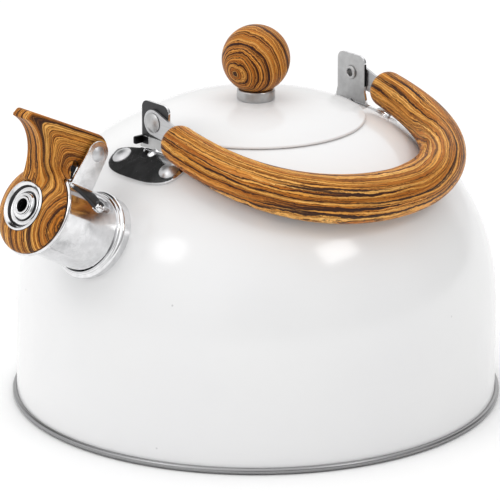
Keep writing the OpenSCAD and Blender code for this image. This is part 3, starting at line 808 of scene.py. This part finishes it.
def lever():
    """The moulded flip cap and its hooked neck, fused and softened into one moulding."""
    hollow = [(SCOOP_U - SCOOP_LONG * sin(a), SCOOP_V + SCOOP_HIGH * cos(a))
              for a in [radians(6 * i) for i in range(1, 16)]]
    outline = [(2.0, 14), (2.0, 20.7), (-2.6, 20.7), (-3.2, 19.2, 0.5), (-6.1, 19.2, 0.8)]
    outline += [(-6.1, 26.2, 0.8), (PIN_U + 6, 25.9, 0.8)]
    outline += arc(PIN_U, PIN_V, 8.2, 90, 300, 24)[::-1]
    outline += [(26.8, 37.9, 1.3), (28.2, 33.7, 1.1)] + hollow + [(8.4, 9.8), (CAP_BACK + 3, 10)]
    outline = rounded(outline, True, 5)
    # The neck is drawn in X, Y with its edges rounded, then stood up: X is u, Y is v
    soft = 1.6
    curve = bpy.data.curves.new("neck", "CURVE")
    curve.dimensions = "2D"
    curve.fill_mode = "BOTH"
    curve.extrude = NECK_W / 2 - soft
    curve.bevel_depth = soft
    curve.bevel_resolution = 4
    curve.offset = -soft
    for loop in (outline, circle(PIN_U, PIN_V, PIN_R + 0.05)):
        spline = curve.splines.new("POLY")
        spline.points.add(len(loop) - 1)
        for point, (u, v) in zip(spline.points, loop):
            point.co = (u, v, 0, 1)
        spline.use_cyclic_u = True
    holder = new_object("neck", curve)
    solid = evaluated_mesh(holder)
    bpy.data.objects.remove(holder)
    neck = ([(v.co.y, v.co.z, v.co.x) for v in solid.vertices],
            [tuple(p.vertices) for p in solid.polygons])
    # The cap's front swells from its rim to the flat ring that takes the bezel
    power = 2 / 1.45
    flat_r, bore_r = 11.2, 9.75
    cap = rounded([(bore_r, CAP_BACK), (CAP_R, CAP_BACK, 0.35), (CAP_R, RIM_U)], False, 4)
    cap += [(flat_r + (CAP_R - flat_r) * cos(a) ** power,
             RIM_U + (CAP_BULGE - RIM_U) * sin(a) ** power)
            for a in [radians(4.5 * i) for i in range(1, 20)]]
    cap += [(flat_r, CAP_BULGE), (bore_r, CAP_BULGE)]

    def figure(co, _):
        """The rings follow the scoop and the top of the neck, and turn to wide arcs on the cap."""
        v, y, u = co
        front = hypot((u - SCOOP_U) / SCOOP_LONG, (v - SCOOP_V) / SCOOP_HIGH)
        front = (front - 1) * 19
        top = 39.4 - v - 0.07 * u
        corner = -2.5 * log(exp(-front / 2.5) + exp(-top / 2.5))
        across = y - corner
        on_cap = hypot(v + 5.9, y + 52.5) - 53.5
        share = smoothstep(22, 9, v)
        return (1.35 * (across * (1 - share) + on_cap * share), 0.8 * v - 0.4 * u, y)

    def hood(p, q, w):
        r = HOOD_R + w
        return (r * cos(q / HOOD_R), r * sin(q / HOOD_R), p)

    def hood_root(p, q, w):
        return hood(p, q, w - 2.2)

    rear = [(1.6, -12.2), (1.6, 12.2), (-1.2, 12.2), (-4.6, 7.0), (-6.1, 5.7), (-6.1, -5.7),
            (-4.6, -7.0), (-1.2, -12.2)]
    front = [(0.95, -12.2), (2.6, -12.2), (2.6, 12.2), (0.95, 12.2)]
    parts = [neck, lathe(cap, steps=160), press(rear, [], hood, 1.3, 1.0)]
    parts.append(press(front, [], hood_root, 3.5, 1.0))
    pocket_r, pocket_u = BEZEL_R + 0.1, CAP_BULGE - 0.02
    pocket = [(0, pocket_u), (pocket_r, pocket_u), (pocket_r, 30), (0, 30)]
    piece("wood_lever", join_parts(*parts), WOOD, "whistle", "wood_print", "whistle_lever",
          place=SPOUT, remesh=0.34, smooth=7, grain=figure, sharp=60,
          less=lathe(pocket, False, 96))


# ------------------------ handle brackets and rivets
def bracket(name, body_matrix, with_stop, node):
    """A pressed plate: the flange follows the dome, then the sheet bends up to carry the pivot."""
    lean = asin(abs(dome_normal(BEND_X, 0).x))
    bend_out = 1.0 + PLATE_T
    centre_x = -PLATE_IN - bend_out
    start_x = centre_x + bend_out * sin(lean)
    centre_z = dome_z(-start_x) + bend_out * cos(lean)
    turn = pi / 2 - lean
    bend_len = bend_out * turn

    def at(z):
        return bend_len + z - centre_z

    def shape(p, q, w):
        if p <= 0:
            x = start_x + p
            out = dome_normal(x, q)
            on = Vector((x, q, dome_z(hypot(x, q))))
            spot = on + out * (w + 0.02)
        else:
            sag = dome_z(hypot(start_x, q)) - dome_z(-start_x)
            sag *= 1 - smoothstep(0, 12, p - bend_len)
            if p < bend_len:
                a = lean + turn * p / bend_len
                r = bend_out - w
                spot = Vector((centre_x + r * sin(a), q, centre_z - r * cos(a) + sag))
            else:
                spot = Vector((-PLATE_IN - w, q, centre_z + p - bend_len + sag))
        # Stiffening dimple pressed into the bend
        swell = 1.15 * exp(-(q / 1.1) ** 2 - ((p + 0.3) / 2.4) ** 4)
        return spot + Vector((-0.75, 0, 0.66)) * swell

    power = 2 / FLANGE_POWER
    flange = []
    for i in range(96):
        a = radians(3.75 * i)
        c, s = cos(a), sin(a)
        reach = FLANGE_OUT if c < 0 else FLANGE_BACK
        flange.append((-FLANGE_X + reach * copysign(abs(c) ** power, c) - start_x,
                       FLANGE_HALF * copysign(abs(s) ** power, s)))
    # The plate grows out of the flange's back edge, so that stretch of the flange is left out
    upper = PLATE_HALF - 0.8
    left = [p for p in flange if not (abs(p[1]) < PLATE_HALF + 0.1 and p[0] > -1.5)]
    split = next(i for i, p in enumerate(left) if p[1] > 0)
    plate = rounded([(-0.1, -PLATE_HALF), (at(STOP_Z), -PLATE_HALF, 1.5),
                     (at(STOP_Z) + 3, -upper, 1.5), (at(PIVOT_Z) - PAINTED_EDGE_SHADE_REACH, -upper),
                     (at(PLATE_TOP), -upper, 3.5), (at(PLATE_TOP), upper, 3.5),
                     (at(PIVOT_Z) - PAINTED_EDGE_SHADE_REACH, upper), (at(STOP_Z) + 3, upper, 1.5),
                     (at(STOP_Z), PLATE_HALF, 1.5), (-0.1, PLATE_HALF)], False, 8)
    outline = left[split:] + left[:split] + plate
    holes = [circle(at(PIVOT_Z), 0, SHANK_R + 0.02)]
    front_x = -PLATE_IN - PLATE_T
    y1 = PLATE_HALF - PLATE_T
    y0 = y1 - SLOT_W
    stop_top = STOP_Z + STOP_H
    if with_stop:
        holes.append(rounded([(at(STOP_Z), y0, 0.9), (at(STOP_Z), y1, 0.3),
                              (at(stop_top), y1, 0.3), (at(stop_top), y0, 0.9)], True, 4))
    parts = [press(outline, holes, shape, PLATE_T, 0.6)]
    if with_stop:
        # The lanced tab turns out of the plate along its far edge, and a plug closes its slot
        root_x, tip_x = -PLATE_IN - PLATE_T * 0.4, front_x - 4.4
        # The plug is a dark sheet that stands for the shade seen through the slot
        tab = rounded([(root_x, 0), (tip_x, 0, 0.7), (tip_x, STOP_H, 0.7), (root_x, STOP_H)],
                      True, 4)
        parts.append(press(tab, [], lambda p, q, w: (p, y1 + w, STOP_Z + q),
                           PLATE_T - 0.05, 0.8))
        gap, proud = 0.05, 0.35
        plug = rounded([(y0 + gap, STOP_Z + gap, 0.6), (y1 - gap, STOP_Z + gap, 0.3),
                        (y1 - gap, stop_top - gap, 0.3), (y0 + gap, stop_top - gap, 0.6)],
                       True, 4)
        parts.append(press(plug, [], lambda p, q, w: (front_x - proud + w, p, q),
                           PLATE_T + 2 * proud, 1.5))
    obj = piece(name, join_parts(*parts), POLISHED, "kettle", "polished_steel", node,
                place=body_matrix, bevel=0.22, sharp=50)
    more_materials(obj, PAINTED_SHADE_STEEL, PAINTED_SHADE_BLACK, SATIN)
    # Indices: painted shade, painted black shade, satin
    dark, black, satin = 1, 2, 3
    for face in obj.data.polygons:
        spot = face.center / MM
        # The plates' flat faces are satin; the front plate above the stop gets painted shade
        if abs(face.normal.x) > 0.96:
            face.material_index = dark if with_stop and spot.z > stop_top else satin
        if with_stop and STOP_Z - 0.3 < spot.z < stop_top + 0.3:
            # The tab and the plug get painted black shade
            beyond = front_x - spot.x
            on_plug = y0 < spot.y < y1 and not -PLATE_T - 0.05 < beyond < 0.05
            if on_plug or beyond > 1.2:
                face.material_index = black
        if not with_stop and abs(face.normal.y) > 0.7 and abs(spot.z - PIVOT_Z) < PAINTED_EDGE_SHADE_REACH:
            # The edge next to the rear arm gets painted black shade too
            face.material_index = black


def rivet_row(name, matrix, node):
    """The two domed rivets that hold a bracket to the dome, with their tails inside."""
    head_r, shank_r, tail_r, crown = 4.5, 2, 3.2, 6.525
    top = PLATE_T + 1.8
    head = [(0, top)] + arc(0, top - crown, crown, 88, 47, 14)
    head += rounded([(head_r, PLATE_T + 0.12), (head_r, PLATE_T, 0.1), (shank_r, PLATE_T)],
                    False, 3)
    tail = rounded([(shank_r, -SHEET - 0.02), (tail_r, -SHEET - 0.02, 0.2),
                    (tail_r, -SHEET - 1.0, 0.5), (0, -SHEET - 1.0)], False, 4)
    parts = []
    for side in (-1, 1):
        spot = Vector((-FOOT_X, side * FOOT_Y, dome_z(hypot(FOOT_X, FOOT_Y))))
        turn = dome_normal(spot.x, spot.y).to_track_quat("Z", "Y").to_matrix().to_4x4()
        parts.append(moved(lathe(head + tail, False, 64), Matrix.Translation(spot) @ turn))
    piece(name, join_parts(*parts), STUD, "kettle", "polished_steel", node, place=matrix)


def pivot_rivet(name, matrix, node):
    """Domed head outside, tubular tail rolled over inside the bracket."""
    back = PLATE_IN - 1 - HEAD_IN
    head_r, head_h, tail_r, crown = 4.48, 1.6, 3.2, 7.13
    head = [(0, head_h)] + arc(0, head_h - crown, crown, 88, 51.5, 14)
    head += rounded([(head_r, 0.12), (head_r, 0, 0.1), (SHANK_R, 0)], False, 3)
    tail = rounded([(SHANK_R, back + 1), (tail_r, back + 0.95, 0.4), (tail_r, back, 0.5),
                    (1.75, back, 0.5), (1.7, back + 3, 0.4), (0, back + 3)], False, 5)
    at = Matrix.Translation((-HEAD_IN, 0, PIVOT_Z)) @ Matrix.Rotation(-pi / 2, 4, "Y")
    piece(name, lathe(head + tail, False, 72), SATIN, "kettle", "satin_steel", node,
          place=matrix @ at)


# ------------------------ handle
def arm(name, matrix, node):
    """Flat strip with an eye at the pivot and a narrower tongue inside the grip."""
    neck = GRIP_START + 4
    outline = arc(0, 0, ARM_HALF, 90, 270, 28)
    outline += rounded([(GRIP_START, -ARM_HALF, 2), (neck, -TONGUE_HALF, 2),
                        (TONGUE_END, -TONGUE_HALF, 1), (TONGUE_END, TONGUE_HALF, 1),
                        (neck, TONGUE_HALF, 2), (GRIP_START, ARM_HALF, 2)], True, 5)
    eye = circle(0, 0, SHANK_R + 0.05, 36)

    def shape(p, q, w):
        return (-ARM_IN - ARM_T + w, p, q)

    piece(name, press(outline, [eye], shape, ARM_T, 2.0), BRUSHED, "handle", "satin_steel",
          node, place=matrix @ FOLDED, bevel=0.25, sharp=50)


def grip():
    """The bar, swept along a Bezier curve from each pivot to the middle, with domed ends."""
    ends = [(GRIP_HALF_W, GRIP_START), (GRIP_HALF_W + 1.5, GRIP_START + 58), (25.3, GRIP_REACH),
            (0, GRIP_REACH)]

    def centre(t):
        k = ((1 - t) ** 3, 3 * t * (1 - t) ** 2, 3 * t * t * (1 - t), t ** 3)
        x, y = (sum(k[i] * ends[i][j] for i in range(4)) for j in (0, 1))
        k = ((1 - t) ** 2, 2 * t * (1 - t), t * t)
        dx, dy = (sum(k[i] * (ends[i + 1][j] - ends[i][j]) for i in range(3)) for j in (0, 1))
        return x, y, dx, dy

    def radius(t):
        return GRIP_END_R + (GRIP_MID_R - GRIP_END_R) * (1 - (1 - t) ** 2) + 1.4 * t * (1 - t)

    sides, steps, cap = 64, 132, 12
    stations = []
    for i in range(cap):
        a = radians(90 * (i + 0.25) / cap)
        stations.append((GRIP_HALF_W, GRIP_START - GRIP_END_LEN * cos(a), 0, 1,
                         GRIP_END_R * sin(a) ** 0.55))
    for i in range(steps + 1):
        t = i / steps
        stations.append((*centre(t), radius(t)))
    stations += [(-x, y, dx, -dy, r) for x, y, dx, dy, r in reversed(stations[:-1])]
    verts, grain, length, last = [], [], 0.0, None
    for x, y, dx, dy, r in stations:
        size = hypot(dx, dy)
        out = Vector((dy / size, -dx / size, 0))
        here = Vector((x, y, 0))
        length += (here - last).length if last else 0
        last = here
        for k in range(sides):
            a = 2 * pi * k / sides
            across, up = r * cos(a), r * sin(a)
            verts.append(here + out * across + Vector((0, 0, up)))
            # The printed figure runs along the bar and winds round it in the first bend
            tilt = radians(-50 + 96 * smoothstep(30, 110, length))
            grain.append((1.25 * (across * cos(tilt) - up * sin(tilt)) - 9, length, up))
    rows = len(stations)
    faces = [(i * sides + k, i * sides + (k + 1) % sides, (i + 1) * sides + (k + 1) % sides,
              (i + 1) * sides + k) for i in range(rows - 1) for k in range(sides)]
    for row, order in ((0, 1), (rows - 1, -1)):
        x, y = stations[row][:2]
        verts.append(Vector((x, y - 0.05, 0)))
        grain.append((grain[row * sides][0], grain[row * sides][1], 0))
        hub = len(verts) - 1
        faces += [(hub, row * sides + (k + 1) % sides, row * sides + k)[::order]
                  for k in range(sides)]
    piece("wood_grip", (verts, faces), WOOD, "handle", "wood_print", "grip", place=FOLDED,
          grain=lambda _, i: grain[i], sharp=80)


# ------------------------ carried-over CAD nodes
def paint_cad_nodes():
    for node, material, slot in (("heat_spreader", ALUMINIUM, "aluminium"),
                                 ("knob_screw", BRUSHED, "satin_steel")):
        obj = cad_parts[node]
        obj.data.materials.clear()
        obj.data.materials.append(material)


# ------------------------ studio
def lay_floor():
    mesh = bpy.data.meshes.new("floor")
    half = 4.0
    mesh.from_pydata([(-half, -half, 0), (half, -half, 0), (half, half, 0), (-half, half, 0)], [],
                     [(0, 1, 2, 3)])
    mesh.materials.append(make_floor())
    floor = new_object("floor", mesh)


def light_world():
    """Pale surroundings, lighter overhead. Mirrors see a few darker patches in them."""
    world = bpy.data.worlds.new("studio")
    world.use_nodes = True
    bpy.context.scene.world = world
    tree = world.node_tree
    tree.nodes.clear()
    way = add(tree, "TexCoord").outputs["Generated"]

    def patch(direction, inner, outer):
        """1 within inner degrees of a direction, 0 beyond outer degrees."""
        unit = tuple(Vector(direction).normalized())
        dot = add(tree, "VectorMath", {0: way, 1: unit}, operation="DOT_PRODUCT")
        return spread(tree, dot.outputs["Value"], cos(radians(outer)),
                      cos(radians(inner)), 0, 1)

    height = add(tree, "SeparateXYZ", {0: way}).outputs["Z"]
    overhead = mix(tree, spread(tree, height, -0.2, 0.9, 0, 1), (0.66, 0.66, 0.66),
                   (1.31, 1.31, 1.31))
    front_shade = maths(tree, "MULTIPLY", patch((0.25, -0.96, 0.1), 10, 88), 0.54)
    soft = mix(tree, front_shade, overhead, (0.0, 0.0, 0.0))
    mirror = soft
    for direction, inner, outer, grey in (((0.03, 0.7, 0.71), 16, 30, 0.02),
                                          ((0.9, -0.35, 0.25), 14, 30, 0.1),
                                          ((-0.6, -0.75, 0.15), 8, 26, 0.3)):
        mirror = mix(tree, patch(direction, inner, outer), mirror, (grey, grey, grey))
    ray = add(tree, "LightPath").outputs
    color = mix(tree, ray["Is Glossy Ray"], soft, mirror)
    color = mix(tree, ray["Is Camera Ray"], color, (1.0, 1.0, 1.0))
    shade = add(tree, "Background", {"Color": color, "Strength": 1.05})
    add(tree, "OutputWorld", {"Surface": shade.outputs[0]})


def softbox(name, spot, direction, width, height, power, shape):
    """An area light 1.2 m away from a spot given in millimetres, facing it."""
    light = bpy.data.lights.new(name, "AREA")
    light.shape = shape
    light.size = width
    light.size_y = height
    light.energy = power
    obj = new_object(name, light)
    obj.location = Vector(spot) * MM + Vector(direction).normalized() * 1.2
    obj.rotation_euler = Vector(direction).to_track_quat("Z", "Y").to_euler()


def place_camera():
    lens = bpy.data.cameras.new("camera")
    lens.sensor_width = 36.0
    lens.lens = CAMERA_LENS
    lens.clip_start = 0.05
    lens.clip_end = 50
    camera = new_object("camera", lens)
    camera.location = CAMERA_AT
    camera.rotation_euler = Vector(CAMERA_WAY).to_track_quat("-Z", "Y").to_euler()
    scene = bpy.context.scene
    scene.camera = camera
    scene.view_settings.view_transform = "Standard"


body_shell()
base_pieces()
lid_pieces()
spout_pieces()
spout_bracket()
pin_and_whistle()
lever()
for end, flip in (("front", Matrix.Identity(4)), ("rear", MIRROR_X)):
    bracket(end + "_pressed_bracket", flip, end == "front", end + "_bracket")
    rivet_row(end + "_flange_rivets", flip, end + "_bracket_rivets")
    pivot_rivet(end + "_pivot_stud", flip, end + "_pivot_rivet")
    arm(end + "_strap", flip, end + "_arm")
grip()
paint_cad_nodes()
lay_floor()
light_world()
softbox("softbox_right", (-32, -87, 94), (0.14, -0.7, 0.7), 0.38, 0.26, 1.9, "RECTANGLE")
softbox("softbox_left", (-84, -39, 94), (-0.71, 0.1, 0.69), 0.34, 0.34, 0.95, "ELLIPSE")
place_camera()
